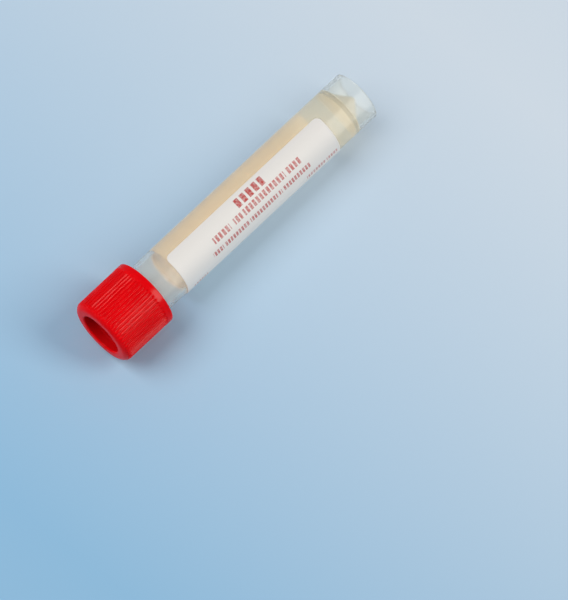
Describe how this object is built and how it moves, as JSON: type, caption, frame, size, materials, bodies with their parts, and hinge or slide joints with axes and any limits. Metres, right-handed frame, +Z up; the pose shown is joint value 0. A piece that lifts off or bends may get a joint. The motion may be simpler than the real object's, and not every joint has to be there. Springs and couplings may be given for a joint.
{
  "type": "specimen swab tube",
  "caption": "Skirted transport tube with a conical false bottom, screw cap, wrapped label and liquid medium; it stands on its skirt and the cap unscrews.",
  "frame": {"origin": "centre of the skirt's rim, on the surface that the tube stands on", "axes": "+Z up along the tube's axis towards the cap; the label's window lies towards +X and the label's front towards -Y"},
  "size_m": [0.017, 0.017, 0.0825],
  "materials": {
    "clear_plastic": "moulded clear polypropylene, gloss",
    "red_plastic": "moulded polyethylene, satin gloss",
    "seal_rubber": "matt silicone",
    "label_film": "satin coated paper",
    "pale_medium": "clear pale liquid"
  },
  "bodies": {
    "tube": {"tube_body": "clear_plastic", "label": "label_film", "medium": "pale_medium"},
    "seal": {"seal_ring": "seal_rubber"},
    "cap": {"screw_cap": "red_plastic"}
  },
  "joints": [
    {"name": "cap_rise", "type": "slide", "parent": "tube", "child": "seal", "axis": [0, 0, 1], "range_m": [0, 0.012]},
    {"name": "cap_turn", "type": "hinge", "parent": "seal", "child": "cap", "pos_m": [0, 0, 0.075], "axis": [0, 0, 1], "range_deg": [0, 1080]}
  ],
  "couplings": [
    {"joint": "cap_turn", "follows": "cap_rise", "rad_per_m": 1570.8}
  ]
}
